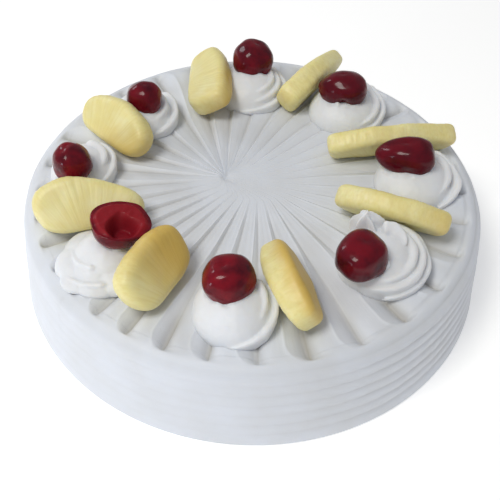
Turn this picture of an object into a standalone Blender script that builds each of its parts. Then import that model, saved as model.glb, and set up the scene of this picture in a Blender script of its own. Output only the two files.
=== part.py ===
"""Round pineapple cake: whipped cream body, piped rosettes, cherries and slabs of pineapple.

Metres, +Z up. The origin is the middle of the flat underside, and the cake's shown front faces -Y.
The cream is soft and takes the shape of the fruit: a cherry sits in a pocket in its rosette, and a
slab of pineapple stands in a shallow pocket in the top with its broad side against the rosette.
"""

import math
from dataclasses import dataclass

import bpy
import bmesh
from mathutils import Matrix, Vector

# Cake body
BASE_RADIUS = 0.110
SIDE_TOP_RADIUS = 0.105
RIM_RADIUS = 0.096
TOP_HEIGHT = 0.0437
SHOULDER_DROP = 0.007
CENTRE_DIP = 0.0006
TOP_RING_RADII = (0.012, 0.034, 0.058, 0.080)
NOTCH_END_TURN = math.radians(20)
SHOULDER_GROOVE_TURN = math.radians(47)
SHOULDER_CREST_TURN = math.radians(68)
BASE_EDGE = 0.0008

# Scraper strokes that run from the rim to the middle of the top
STROKES = 33
FIRST_STROKE = math.radians(-136.8)
STROKE_SWING = math.radians(5.8)
STROKE_WAVES = 2
RIM_CREST_SHARE = 0.58
INNER_CREST_SHARE = 0.82
CREST_SHARE_RADII = (0.040, 0.085)
STROKE_DEPTH = 0.0048
INNER_DEPTH_SHARE = 0.55
DEEPENING_RADIUS = 0.074
FRONT_MEETING = Vector((0.003, 0.0, 0.0))
BACK_MEETING = Vector((-0.0133, 0.0042, 0.0))
FRONT_DIRECTION = math.radians(-60)

# Comb grooves round the side; one more runs over the shoulder
GROOVES = 6
LOWEST_GROOVE = 0.0073
GROOVE_PITCH = 0.0059
GROOVE_DEPTH = 0.0010

# Gap that is kept between neighbours, and how close points are when they are merged
GAP = 0.0003
MERGE_DISTANCE = 0.00001

# Piped swirl of a rosette, with deep folds on its right and a smooth left side
SWIRL_COLUMNS = 18
SWIRL_TURNS = 2.25
SWIRL_PITCH = 0.40
SWIRL_DEPTH = 0.0021
SWIRL_ROOT = 0.006
SWIRL_FOOT_SHARE = 0.86
SWIRL_LAST_CREST = 0.96
SWIRL_LAST_VALLEY = 0.985
SWIRL_BULGE = 0.85
FOLD_MIDDLE = math.radians(-15)
SMOOTH_SIDE_SHRINKAGE = 0.12
SMOOTH_SIDE_DEPTH = 0.30

# Torn, pleated peak of the front right rosette
RUFFLE_ROSETTE = 6
RUFFLE_FOOT = Vector((-0.0045, 0.0100, 0.005))
RUFFLE_PLEATS = 5
RUFFLE_RINGS = ((0.0, 0.0058), (0.45, 0.0072), (0.92, 0.0044))
RUFFLE_RISE = 0.0142
RUFFLE_FLATNESS = 0.6
PLEAT_DEPTH = 0.5

# Slabs of pineapple, each cut from a round slice
SLAB_OUTLINE_POINTS = 120
SLAB_POINT_STRIDE = 6
SLAB_END_SHARE = 0.08
SLAB_FOOT_SHARE = 0.88
SLAB_FOOT_BULGE = 0.0008
SLAB_BEVEL = 0.0027
SLAB_SINK = 0.0015

# Cherries
CHERRY_COLUMNS = 12
CHERRY_RINGS = 8
STEM_DIMPLE = 0.10
STEM_DIMPLE_RADIUS = 0.6
POINT_GROWTH = 1.5
NOTCH_MIDDLE = 0.15
NOTCH_WIDTH = 0.22
NOTCH_TOP = 0.20
NOTCH_HEIGHT = 0.50
HALF_CHERRY_COLUMNS = 14
HALF_CHERRY_ANGLES = (-90, -65, -40, -18, 0)
CUT_FACE_RADIUS = 0.94
CUT_FACE_RISE = 0.07
PIT_RADIUS = 0.56
PIT_WAIST_RADIUS = 0.40
PIT_WAIST_DEPTH = 0.34
PIT_DEPTH = 0.56
PIT_SHIFT = Vector((0.02, -0.26, 0.0))

# Colour and roughness of each material
CREAM = ((0.86, 0.87, 0.88), 0.50)
CHERRY_RED = ((0.16, 0.008, 0.016), 0.12)
PINEAPPLE_YELLOW = ((0.78, 0.62, 0.22), 0.35)

# Angle in degrees past which an edge is shaded sharp
BODY_SHARP_ANGLE = 20
ROSETTE_SHARP_ANGLE = 50
SLAB_SHARP_ANGLE = 30
CHERRY_SHARP_ANGLE = 60


@dataclass(frozen=True)
class Rosette:
    """A piped rosette: where it stands, its size and the angle where its rope starts."""

    x: float
    y: float
    radius: float
    height: float
    start: float


@dataclass(frozen=True)
class Cherry:
    """A cherry: its middle, how high that is above the top, its half sizes and its turn and tilt.

    The point makes its left end slimmer and the notch is a dent from below, both as shares. A
    squareness of 2 is round and a larger one is boxier.
    """

    x: float
    y: float
    lift: float
    half_width: float
    half_depth: float
    half_height: float
    turn: float
    tilt: float
    point: float = 0.0
    notch: float = 0.0
    squareness: float = 2.3
    halved: bool = False


@dataclass(frozen=True)
class Slab:
    """A slab of pineapple on its edge: the middle of its foot, its heading, lean, size and form.

    The rounding is how many times the corners are evened out. The taper makes the left end higher,
    the thinning makes the right end thicker and the belly makes both ends thinner, all as shares.
    """

    x: float
    y: float
    heading: float
    lean: float
    length: float
    height: float
    thickness: float
    rounding: int
    taper: float = 0.0
    thinning: float = 0.0
    belly: float = 0.0
    arch: float = 52.0


ROSETTES = (
    Rosette(-0.0040, 0.0700, 0.0198, 0.0156, 200),
    Rosette(-0.0570, 0.0440, 0.0180, 0.0154, 250),
    Rosette(-0.0790, 0.0030, 0.0172, 0.0148, 300),
    Rosette(-0.0600, -0.0500, 0.0208, 0.0122, 20),
    Rosette(-0.0060, -0.0755, 0.0192, 0.0162, 250),
    Rosette(0.0530, -0.0480, 0.0202, 0.0162, 215),
    Rosette(0.0735, 0.0020, 0.0200, 0.0156, 230),
    Rosette(0.0450, 0.0550, 0.0204, 0.0154, 230),
)

CHERRIES = (
    Cherry(-0.0022, 0.0778, 0.0148, 0.0101, 0.0104, 0.0097, 20, 14, notch=0.14),
    Cherry(-0.0549, 0.0434, 0.0140, 0.0086, 0.0084, 0.0086, 350, 6, point=0.22),
    Cherry(-0.0806, -0.0062, 0.0142, 0.0083, 0.0082, 0.0090, 140, 12),
    Cherry(-0.0535, -0.0434, 0.0162, 0.0120, 0.0113, 0.0100, 15, 8, halved=True),
    Cherry(-0.0082, -0.0709, 0.0148, 0.0105, 0.0102, 0.0094, 190, 14, point=0.14),
    Cherry(0.0433, -0.0566, 0.0140, 0.0106, 0.0101, 0.0092, 50, 10, point=0.18, squareness=2.7),
    Cherry(0.0682, 0.0044, 0.0145, 0.0131, 0.0098, 0.0098, 350, -4, point=0.36, notch=0.14),
    Cherry(0.0432, 0.0550, 0.0145, 0.0122, 0.0098, 0.0091, 346, -6, point=0.16, notch=0.20),
)

SLABS = (
    Slab(-0.0332, 0.0666, 92, 58, 0.0515, 0.0225, 0.0118, 40, taper=-0.14, arch=36.0),
    Slab(-0.0702, 0.0228, 138, 42, 0.0472, 0.0218, 0.0110, 40),
    Slab(-0.0683, -0.0350, 194, 48, 0.0512, 0.0228, 0.0110, 50, taper=0.26),
    Slab(-0.0322, -0.0658, -116, 40, 0.0420, 0.0236, 0.0115, 50, arch=40.0),
    Slab(0.0196, -0.0660, -71, 30, 0.0428, 0.0206, 0.0140, 14, belly=0.28),
    Slab(0.0620, -0.0194, -20, 37, 0.0530, 0.0220, 0.0108, 16),
    Slab(0.0636, 0.0275, 10, 32, 0.0645, 0.0205, 0.0102, 8),
    Slab(0.0253, 0.0735, 54, 26, 0.0510, 0.0210, 0.0113, 14, thinning=-0.18),
)


def ease(value):
    """Return a smooth step from 0 to 1 while the value runs from 0 to 1."""
    value = max(0.0, min(1.0, value))
    return value * value * (3 - 2 * value)


def clear_scene():
    """Remove every object that the file holds."""
    for old in list(bpy.data.objects):
        bpy.data.objects.remove(old, do_unlink=True)


def make_material(name, colour, roughness):
    """Return a Principled material with one colour and roughness."""
    material = bpy.data.materials.new(name)
    material.use_nodes = True
    shader = material.node_tree.nodes["Principled BSDF"]
    shader.inputs["Base Color"].default_value = (*colour, 1.0)
    shader.inputs["Roughness"].default_value = roughness
    shader.inputs["Metallic"].default_value = 0.0
    return material


def add_object(name, bm, material=None):
    """Turn a closed bmesh into a named object whose faces point out, and link it to the scene."""
    bmesh.ops.recalc_face_normals(bm, faces=bm.faces)
    if bm.calc_volume(signed=True) < 0:
        bmesh.ops.reverse_faces(bm, faces=bm.faces)
    mesh = bpy.data.meshes.new(name)
    bm.to_mesh(mesh)
    bm.free()
    made = bpy.data.objects.new(name, mesh)
    bpy.context.scene.collection.objects.link(made)
    if material is not None:
        mesh.materials.append(material)
    return made


def add_cutter(name, bm):
    """Turn a bmesh into an object that only cuts others."""
    cutter = add_object(name, bm)
    cutter.hide_render = True
    cutter.display_type = "WIRE"
    return cutter


def combine(target, other, operation):
    """Cut one closed solid out of another, or join it on, with an exact Boolean."""
    step = target.modifiers.new(operation.lower() + "_" + other.name, "BOOLEAN")
    step.operation = operation
    step.solver = "EXACT"
    step.object = other


def smoothly_shade(part, angle):
    """Shade a round piece smooth and keep the edges sharper than the angle."""
    part.data.shade_smooth()
    part.data.set_sharp_from_angle(angle=math.radians(angle))


def stroke_angle(index):
    """Return the angle of a stroke's valley; the spacing widens and narrows round the cake."""
    pitch = 2 * math.pi / STROKES
    swing = STROKE_SWING * math.sin(2 * math.pi * STROKE_WAVES * index / STROKES)
    return FIRST_STROKE + pitch * index - swing


def column_angle(column, radius):
    """Return the angle of a column: even columns are valleys, odd ones the crests between them."""
    index = column // 2
    valley = stroke_angle(index)
    if column % 2 == 0:
        return valley
    inner, outer = CREST_SHARE_RADII
    outwards = ease((radius - inner) / (outer - inner))
    share = INNER_CREST_SHARE + (RIM_CREST_SHARE - INNER_CREST_SHARE) * outwards
    return valley + share * (stroke_angle(index + 1) - valley)


def meeting_shift(radius, angle):
    """Return how far a stroke leans aside: the front ones and the back ones meet at two places."""
    if radius == 0.0:
        return BACK_MEETING
    frontness = 0.5 + 0.5 * math.cos(angle - FRONT_DIRECTION)
    meeting = BACK_MEETING + (FRONT_MEETING - BACK_MEETING) * frontness
    return meeting * max(0.0, 1 - radius / RIM_RADIUS)


def stroke_depth(radius):
    """Return how deep a valley is on the top at a radius."""
    inner = min(radius, RIM_RADIUS) / RIM_RADIUS
    outer = ease((radius - DEEPENING_RADIUS) / (RIM_RADIUS - DEEPENING_RADIUS))
    return STROKE_DEPTH * (INNER_DEPTH_SHARE * inner + (1 - INNER_DEPTH_SHARE) * outer)


def shoulder_row(turn, cut):
    """Return a row of the rounded shoulder: how far it has turned down and how deep it is cut."""
    radius = RIM_RADIUS + (SIDE_TOP_RADIUS - RIM_RADIUS - cut) * math.sin(turn)
    height = TOP_HEIGHT - SHOULDER_DROP + (SHOULDER_DROP - cut) * math.cos(turn)
    return (radius, height, 0.0)


def cake_profile():
    """Return the outline of the body as (radius, height, valley depth) from the top to the base."""
    rows = [(0.0, TOP_HEIGHT - CENTRE_DIP, 0.0)]
    for radius in TOP_RING_RADII + (RIM_RADIUS,):
        dip = CENTRE_DIP * (1 - radius / RIM_RADIUS)
        rows.append((radius, TOP_HEIGHT - dip, stroke_depth(radius)))
    rows.append(shoulder_row(NOTCH_END_TURN, 0.0))
    rows.append(shoulder_row(SHOULDER_GROOVE_TURN, GROOVE_DEPTH))
    rows.append(shoulder_row(SHOULDER_CREST_TURN, 0.0))
    for step in range(2 * GROOVES):
        height = LOWEST_GROOVE + GROOVE_PITCH * (GROOVES - 1 - step / 2)
        radius = side_radius(height) - (GROOVE_DEPTH if step % 2 == 0 else 0.0)
        rows.append((radius, height, 0.0))
    rows.append((BASE_RADIUS, BASE_EDGE, 0.0))
    rows.append((BASE_RADIUS - BASE_EDGE, 0.0, 0.0))
    rows.append((0.0, 0.0, 0.0))
    return rows


def side_radius(height):
    """Return the radius of the tapering side at a height."""
    share = height / (TOP_HEIGHT - SHOULDER_DROP)
    return BASE_RADIUS + (SIDE_TOP_RADIUS - BASE_RADIUS) * share


def cake_mesh(raise_by=0.0):
    """Spin the body's outline and set each column on its valley or crest."""
    bm = bmesh.new()
    rows = cake_profile()
    outline = [bm.verts.new((radius, 0.0, height)) for radius, height, depth in rows]
    edges = [bm.edges.new(pair) for pair in zip(outline, outline[1:])]
    bmesh.ops.spin(
        bm, geom=outline + edges, cent=(0, 0, 0), axis=(0, 0, 1), angle=2 * math.pi,
        steps=2 * STROKES, use_merge=True, use_duplicate=False,
    )
    bmesh.ops.remove_doubles(bm, verts=bm.verts, dist=MERGE_DISTANCE)
    for vert in bm.verts:
        radius = math.hypot(vert.co.x, vert.co.y)
        if radius < MERGE_DISTANCE:
            vert.co.z += raise_by
            if vert.co.z > TOP_HEIGHT / 2:
                vert.co += meeting_shift(0.0, 0.0)
            continue
        column = round(math.atan2(vert.co.y, vert.co.x) / math.pi * STROKES) % (2 * STROKES)
        depth = min(rows, key=lambda row: math.dist(row[:2], (radius, vert.co.z)))[2]
        drop = depth if column % 2 == 0 else 0.0
        on_top = vert.co.z > TOP_HEIGHT / 2
        angle = column_angle(column, radius if on_top else RIM_RADIUS)
        height = vert.co.z - drop + raise_by
        vert.co = (radius * math.cos(angle), radius * math.sin(angle), height)
        if on_top:
            vert.co += meeting_shift(radius, angle)
    bmesh.ops.triangulate(bm, faces=bm.faces)
    return bm


def dome_point(rosette, share, angle, groove):
    """Return a point of the rosette's dome: share runs from the foot, 0, to the tip, 1."""
    climb = share * math.pi / 2
    smoothness = 0.5 - 0.5 * math.cos(angle - FOLD_MIDDLE)
    groove *= 1 - (1 - SMOOTH_SIDE_DEPTH) * smoothness
    size = 1 - SMOOTH_SIDE_SHRINKAGE * smoothness * math.cos(climb)
    radius = (rosette.radius * size - groove) * math.cos(climb) ** SWIRL_BULGE
    height = (rosette.height * size - groove) * math.sin(climb)
    return Vector((
        rosette.x + radius * math.cos(angle),
        rosette.y + radius * math.sin(angle),
        TOP_HEIGHT + height,
    ))


def rosette_mesh(rosette):
    """Wind one rope of cream inwards and up, as a crest line and a valley line joined by faces."""
    bm = bmesh.new()
    start = math.radians(rosette.start)
    last = round(SWIRL_COLUMNS * SWIRL_TURNS)
    crest = []
    valley = []
    for step in range(last + 1):
        turns = step / SWIRL_COLUMNS
        angle = start + 2 * math.pi * turns
        crest_share = min(SWIRL_PITCH * turns, SWIRL_LAST_CREST)
        valley_share = min(SWIRL_PITCH * (turns + 0.5), SWIRL_LAST_VALLEY)
        crest.append(bm.verts.new(dome_point(rosette, crest_share, angle, 0.0)))
        valley.append(bm.verts.new(dome_point(rosette, valley_share, angle, SWIRL_DEPTH)))
    foot = []
    for column in range(SWIRL_COLUMNS):
        angle = start + 2 * math.pi * column / SWIRL_COLUMNS
        radius = rosette.radius * SWIRL_FOOT_SHARE
        place = Vector((radius * math.cos(angle), radius * math.sin(angle), 0.0))
        place += Vector((rosette.x, rosette.y, TOP_HEIGHT - SWIRL_ROOT))
        foot.append(bm.verts.new(place))
    for step in range(SWIRL_COLUMNS):
        after = foot[(step + 1) % SWIRL_COLUMNS]
        bm.faces.new((foot[step], after, crest[step + 1], crest[step]))
    bm.faces.new((foot[0], crest[0], valley[0]))
    bm.faces.new((foot[0], valley[0], crest[SWIRL_COLUMNS]))
    for step in range(last):
        bm.faces.new((crest[step], crest[step + 1], valley[step + 1], valley[step]))
    for step in range(last - SWIRL_COLUMNS):
        outer = step + SWIRL_COLUMNS
        bm.faces.new((valley[step], valley[step + 1], crest[outer + 1], crest[outer]))
    tip = bm.verts.new(dome_point(rosette, 1.0, 0.0, SWIRL_DEPTH))
    ring = valley[last - SWIRL_COLUMNS:]
    for first, second in zip(ring, ring[1:]):
        bm.faces.new((first, second, tip))
    bm.faces.new((ring[-1], crest[last], ring[0]))
    bm.faces.new((ring[-1], ring[0], tip))
    bm.faces.new(list(reversed(foot)))
    bmesh.ops.triangulate(bm, faces=bm.faces)
    return bm


def ruffle_mesh(rosette):
    """Make the pleated peak: rings of alternate pleats and folds closed by a cap below and above."""
    bm = bmesh.new()
    middle = Vector((rosette.x, rosette.y, TOP_HEIGHT)) + RUFFLE_FOOT
    rings = []
    for share, reach in RUFFLE_RINGS:
        ring = []
        for column in range(2 * RUFFLE_PLEATS):
            angle = math.pi * column / RUFFLE_PLEATS
            out = reach * (1.0 if column % 2 == 0 else PLEAT_DEPTH)
            place = Vector((math.cos(angle) * out, math.sin(angle) * out * RUFFLE_FLATNESS, 0.0))
            ring.append(bm.verts.new(middle + place + Vector((0, 0, RUFFLE_RISE * share))))
        rings.append(ring)
    for lower, upper in zip(rings, rings[1:]):
        for column in range(2 * RUFFLE_PLEATS):
            after = (column + 1) % (2 * RUFFLE_PLEATS)
            bm.faces.new((lower[column], lower[after], upper[after], upper[column]))
    bm.faces.new(list(reversed(rings[0])))
    tip = bm.verts.new(middle + Vector((0, 0, RUFFLE_RISE)))
    for column in range(2 * RUFFLE_PLEATS):
        bm.faces.new((rings[-1][column], rings[-1][(column + 1) % (2 * RUFFLE_PLEATS)], tip))
    bmesh.ops.triangulate(bm, faces=bm.faces)
    return bm


def cherry_place(cherry):
    """Return the matrix that turns, tilts and places a cherry."""
    turn = Matrix.Rotation(math.radians(cherry.turn), 4, "Z")
    tilt = Matrix.Rotation(math.radians(cherry.tilt), 4, "Y")
    return Matrix.Translation((cherry.x, cherry.y, TOP_HEIGHT + cherry.lift)) @ turn @ tilt


def whole_cherry_mesh(cherry, grow):
    """Make a squarish ball with a stem dimple, a slimmer end and a notch below."""
    bm = bmesh.new()
    bmesh.ops.create_uvsphere(bm, u_segments=CHERRY_COLUMNS, v_segments=CHERRY_RINGS, radius=1.0)
    for vert in bm.verts:
        direction = vert.co.normalized()
        reach = sum(abs(part) ** cherry.squareness for part in direction) ** (-1 / cherry.squareness)
        around = math.hypot(direction.x, direction.y)
        if direction.z > 0:
            reach -= STEM_DIMPLE * max(0.0, 1 - around / STEM_DIMPLE_RADIUS) ** 2
        beside_notch = (direction.x - NOTCH_MIDDLE) / NOTCH_WIDTH
        below_notch = ease((NOTCH_TOP - direction.z) / NOTCH_HEIGHT)
        reach -= cherry.notch * math.exp(-(beside_notch ** 2)) * below_notch
        place = direction * reach
        slimness = 1 - cherry.point * max(0.0, (1 - place.x) / 2) ** POINT_GROWTH
        vert.co.x = place.x * (cherry.half_width + grow)
        vert.co.y = place.y * slimness * (cherry.half_depth + grow)
        vert.co.z = place.z * slimness * (cherry.half_height + grow)
    return bm


def half_cherry_mesh(cherry, grow):
    """Spin the outline of a cherry cut through, with the hollow that the stone leaves."""
    turns = [math.radians(angle) for angle in HALF_CHERRY_ANGLES]
    outline_rows = [(math.cos(turn), math.sin(turn)) for turn in turns]
    outline_rows.append((CUT_FACE_RADIUS, CUT_FACE_RISE))
    if grow == 0.0:
        outline_rows.append((PIT_RADIUS, 0.0))
        outline_rows.append((PIT_WAIST_RADIUS, -PIT_WAIST_DEPTH))
        outline_rows.append((0.0, -PIT_DEPTH))
    else:
        outline_rows.append((0.0, CUT_FACE_RISE))
    bm = bmesh.new()
    outline = [bm.verts.new((radius, 0.0, height)) for radius, height in outline_rows]
    outline[0].co.x = 0.0
    edges = [bm.edges.new(pair) for pair in zip(outline, outline[1:])]
    bmesh.ops.spin(
        bm, geom=outline + edges, cent=(0, 0, 0), axis=(0, 0, 1), angle=2 * math.pi,
        steps=HALF_CHERRY_COLUMNS, use_merge=True, use_duplicate=False,
    )
    bmesh.ops.remove_doubles(bm, verts=bm.verts, dist=MERGE_DISTANCE)
    for vert in bm.verts:
        within_pit = math.hypot(vert.co.x, vert.co.y) < PIT_RADIUS + MERGE_DISTANCE
        if grow == 0.0 and within_pit and vert.co.z > -PIT_DEPTH - MERGE_DISTANCE:
            vert.co += PIT_SHIFT
        vert.co.x *= cherry.half_width + grow
        vert.co.y *= cherry.half_depth + grow
        vert.co.z *= cherry.half_height + grow
    return bm


def cherry_mesh(cherry, grow=0.0):
    """Make a whole or a halved cherry in its place, larger by grow on every side."""
    bm = half_cherry_mesh(cherry, grow) if cherry.halved else whole_cherry_mesh(cherry, grow)
    bmesh.ops.transform(bm, matrix=cherry_place(cherry), verts=bm.verts)
    return bm


def slab_place(slab):
    """Return the matrix of a slab: X along it, Y up its broad side, Z through its thickness."""
    heading = math.radians(slab.heading)
    lean = math.radians(slab.lean)
    along = Vector((math.cos(heading), math.sin(heading), 0.0))
    towards = Vector((math.sin(heading), -math.cos(heading), 0.0))
    up_the_side = Vector((0, 0, math.cos(lean))) + towards * math.sin(lean)
    through = along.cross(up_the_side)
    foot_height = TOP_HEIGHT - SLAB_SINK + slab.thickness / 2 * math.sin(lean)
    place = Matrix((along, up_the_side, through)).transposed().to_4x4()
    place.translation = Vector((slab.x, slab.y, foot_height))
    return place


def sharp_outline_point(slab, share):
    """Return a point of the outline before it is rounded, from the right end over the rind and round."""
    half = slab.length / 2
    foot = half * SLAB_FOOT_SHARE
    arch = math.radians(slab.arch)
    shoulder = slab.height * math.cos(arch)
    if share < 0.5:
        across = 1 - 4 * share
        rise = slab.height * math.cos(arch * across) * (1 + slab.taper * across)
        return Vector((half * across, rise, 0.0))
    if share < 0.5 + SLAB_END_SHARE:
        part = (share - 0.5) / SLAB_END_SHARE
        return Vector((-half + (half - foot) * part, shoulder * (1 - slab.taper) * (1 - part), 0.0))
    if share < 1 - SLAB_END_SHARE:
        across = (share - 0.5 - SLAB_END_SHARE) / (0.5 - 2 * SLAB_END_SHARE) * 2 - 1
        return Vector((foot * across, -SLAB_FOOT_BULGE * (1 - across * across), 0.0))
    part = (share - 1 + SLAB_END_SHARE) / SLAB_END_SHARE
    return Vector((foot + (half - foot) * part, shoulder * (1 + slab.taper) * part, 0.0))


def slab_outline(slab):
    """Return the broad side's rounded outline."""
    points = []
    for step in range(SLAB_OUTLINE_POINTS):
        points.append(sharp_outline_point(slab, step / SLAB_OUTLINE_POINTS))
    for _ in range(slab.rounding):
        before = points[-1:] + points[:-1]
        after = points[1:] + points[:1]
        points = [place / 2 + (left + right) / 4 for left, place, right in zip(before, points, after)]
    return points[::SLAB_POINT_STRIDE]


def slab_mesh(slab, grow=0.0):
    """Extrude the outline to the slab's thickness, round its edges off and shape its thickness."""
    bm = bmesh.new()
    corners = [bm.verts.new(point - Vector((0, 0, slab.thickness / 2))) for point in slab_outline(slab)]
    bottom = bm.faces.new(corners)
    grown = bmesh.ops.extrude_face_region(bm, geom=[bottom])
    moved = [item for item in grown["geom"] if isinstance(item, bmesh.types.BMVert)]
    bmesh.ops.translate(bm, verts=moved, vec=(0, 0, slab.thickness))
    bmesh.ops.recalc_face_normals(bm, faces=bm.faces)
    broad = [face for face in bm.faces if len(face.verts) == len(corners)]
    rim = {edge for face in broad for edge in face.edges}
    bmesh.ops.bevel(
        bm, geom=list(rim), offset=SLAB_BEVEL, offset_type="OFFSET", segments=1,
        profile=0.5, affect="EDGES", material=-1, clamp_overlap=True,
    )
    for vert in bm.verts:
        across = vert.co.x / (slab.length / 2)
        vert.co.z *= 1 + slab.thinning * across - slab.belly * across * across
    bmesh.ops.triangulate(bm, faces=bm.faces)
    bm.normal_update()
    outwards = [vert.normal.copy() for vert in bm.verts]
    for vert, normal in zip(bm.verts, outwards):
        vert.co += normal * grow
    bmesh.ops.transform(bm, matrix=slab_place(slab), verts=bm.verts)
    return bm


def close_enough(first_x, first_y, first_reach, second_x, second_y, second_reach):
    """Tell whether two round footprints can meet."""
    distance = math.hypot(first_x - second_x, first_y - second_y)
    return distance < first_reach + second_reach


def build():
    """Build the body, the slabs, the cherries and the rosettes between them."""
    clear_scene()
    cream = make_material("whipped_cream", *CREAM)
    cherry_red = make_material("cherry", *CHERRY_RED)
    pineapple_yellow = make_material("pineapple", *PINEAPPLE_YELLOW)

    cake = add_object("cake", cake_mesh(), cream)
    smoothly_shade(cake, BODY_SHARP_ANGLE)
    slab_cutters = []
    for number, slab in enumerate(SLABS, start=1):
        made = add_object(f"pineapple_{number}", slab_mesh(slab), pineapple_yellow)
        smoothly_shade(made, SLAB_SHARP_ANGLE)
        cutter = add_cutter(f"pineapple_room_{number}", slab_mesh(slab, GAP))
        slab_cutters.append(cutter)
        combine(cake, cutter, "DIFFERENCE")

    cherry_cutters = []
    for number, cherry in enumerate(CHERRIES, start=1):
        made = add_object(f"cherry_{number}", cherry_mesh(cherry), cherry_red)
        smoothly_shade(made, CHERRY_SHARP_ANGLE)
        cherry_cutters.append(add_cutter(f"cherry_room_{number}", cherry_mesh(cherry, GAP)))

    cake_cutter = add_cutter("cake_room", cake_mesh(GAP))
    for number, rosette in enumerate(ROSETTES, start=1):
        made = add_object(f"rosette_{number}", rosette_mesh(rosette), cream)
        smoothly_shade(made, ROSETTE_SHARP_ANGLE)
        if number == RUFFLE_ROSETTE:
            combine(made, add_cutter("ruffle", ruffle_mesh(rosette)), "UNION")
        combine(made, cake_cutter, "DIFFERENCE")
        combine(made, cherry_cutters[number - 1], "DIFFERENCE")
        for slab, cutter in zip(SLABS, slab_cutters):
            if close_enough(rosette.x, rosette.y, rosette.radius, slab.x, slab.y, slab.length / 2):
                combine(made, cutter, "DIFFERENCE")


build()
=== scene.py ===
"""Looks of a round pineapple cake: scraped whipped cream, piped rosettes, cherries and pineapple.

Metres, +Z up. The cake stands on the origin and its shown front faces -Y. Each piece here stands
for one solid of the loaded frame, keeps that solid's place and gives it its real surface.
"""

from __future__ import annotations

import logging
import math
import random
from dataclasses import dataclass
from enum import Enum

import bmesh
import bpy
from mathutils import Matrix, Vector, noise

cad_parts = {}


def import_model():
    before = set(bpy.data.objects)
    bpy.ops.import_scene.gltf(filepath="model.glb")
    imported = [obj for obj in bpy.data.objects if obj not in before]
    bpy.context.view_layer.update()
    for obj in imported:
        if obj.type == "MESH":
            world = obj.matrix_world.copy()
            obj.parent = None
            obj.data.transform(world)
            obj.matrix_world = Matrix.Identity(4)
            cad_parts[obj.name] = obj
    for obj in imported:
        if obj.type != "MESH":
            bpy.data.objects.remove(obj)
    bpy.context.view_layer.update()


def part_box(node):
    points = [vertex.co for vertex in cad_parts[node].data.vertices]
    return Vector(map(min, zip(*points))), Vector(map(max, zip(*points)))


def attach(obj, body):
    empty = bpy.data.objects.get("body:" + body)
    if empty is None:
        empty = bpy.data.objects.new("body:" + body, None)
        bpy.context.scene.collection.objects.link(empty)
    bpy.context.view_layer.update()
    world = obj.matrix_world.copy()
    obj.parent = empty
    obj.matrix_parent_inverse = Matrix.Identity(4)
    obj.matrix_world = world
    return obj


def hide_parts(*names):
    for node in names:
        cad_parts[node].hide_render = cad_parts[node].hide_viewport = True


BODY = "root"
Pair = tuple[float, float]
Triple = tuple[float, float, float]
Quad = tuple[float, float, float, float]
Socket = bpy.types.NodeSocket

FULL_TURN = 2 * math.pi
UP = Vector((0.0, 0.0, 1.0))
MERGE_DISTANCE = 1e-6

log = logging.getLogger("pineapple_cake")


class Slot(Enum):
    """The finishes that the record names."""

    CREAM = "whipped_cream"
    CHERRY = "cherry"
    PINEAPPLE = "pineapple"


class CreamTool(Enum):
    """The tool that shaped a piece of cream, which decides its fine marks and its painted light and
    shade.
    """

    SCRAPER = "scraper"
    PIPING_TIP = "piping_tip"


def clamp(value: float, low: float = 0.0, high: float = 1.0) -> float:
    """Return the value, held between two limits."""
    return max(low, min(high, value))


def ease(value: float) -> float:
    """Return a smooth step from 0 to 1 as the value goes from 0 to 1."""
    held = clamp(value)
    return held * held * (3 - 2 * held)


def between(value: float, start: float, end: float) -> float:
    """Return how far a value has come from a start to an end, from 0 to 1."""
    return clamp((value - start) / (end - start))


def bell(value: float) -> float:
    """Return a bell curve that is 1 at 0 and about 0.37 at 1."""
    return math.exp(-(value ** 2))


def level_direction(angle: float) -> Vector:
    """Return the level direction at an angle from +X."""
    return Vector((math.cos(angle), math.sin(angle), 0.0))


def lumps(place: Vector, per_metre: float, seed: float = 0.0) -> float:
    """Return smooth noise of about -1 to 1, with so many lumps along a metre."""
    return noise.noise(place * per_metre + Vector((seed, seed * 1.7, -seed)))


def swell(place: Vector, waves: tuple[Triple, ...], seed: float = 0.0) -> float:
    """Return several noises in one, each given as its height, its lumps along a metre and its seed."""
    return sum(height * lumps(place, per_metre, seed + own) for height, per_metre, own in waves)


def new_object(name: str, data: bpy.types.ID) -> bpy.types.Object:
    """Put a mesh, a light or a camera into the scene.

    Args:
        name: The object's name.
        data: What it shows.

    Returns:
        The new object.
    """
    made = bpy.data.objects.new(name, data)
    bpy.context.scene.collection.objects.link(made)
    return made


def mesh_object(name: str, bm: bmesh.types.BMesh) -> bpy.types.Object:
    """Put a shape into the scene as a mesh.

    Args:
        name: The mesh's and the object's name.
        bm: The shape. It is freed.

    Returns:
        The new object.
    """
    mesh = bpy.data.meshes.new(name)
    bm.to_mesh(mesh)
    bm.free()
    return new_object(name, mesh)


def add_ball(
    bm: bmesh.types.BMesh,
    segments: tuple[int, int],
    half_sizes: Triple,
    place: Vector | Triple = (0.0, 0.0, 0.0),
) -> None:
    """Add an oval ball to a shape.

    Args:
        bm: The shape.
        segments: How many faces the ball has round its middle line and from pole to pole.
        half_sizes: Half its size along X, Y and Z.
        place: Its middle.
    """
    ball = bmesh.ops.create_uvsphere(bm, u_segments=segments[0], v_segments=segments[1], radius=1.0)
    bmesh.ops.scale(bm, verts=ball["verts"], vec=half_sizes)
    bmesh.ops.translate(bm, verts=ball["verts"], vec=place)


def smooth(bm: bmesh.types.BMesh, times: int, upright: bool = True) -> None:
    """Even out a shape.

    Args:
        bm: The shape.
        times: How often each point moves halfway to the middle of its neighbours.
        upright: Whether the points also move up and down.
    """
    for _ in range(times):
        bmesh.ops.smooth_vert(
            bm, verts=bm.verts, factor=0.5, use_axis_x=True, use_axis_y=True, use_axis_z=upright
        )


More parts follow.
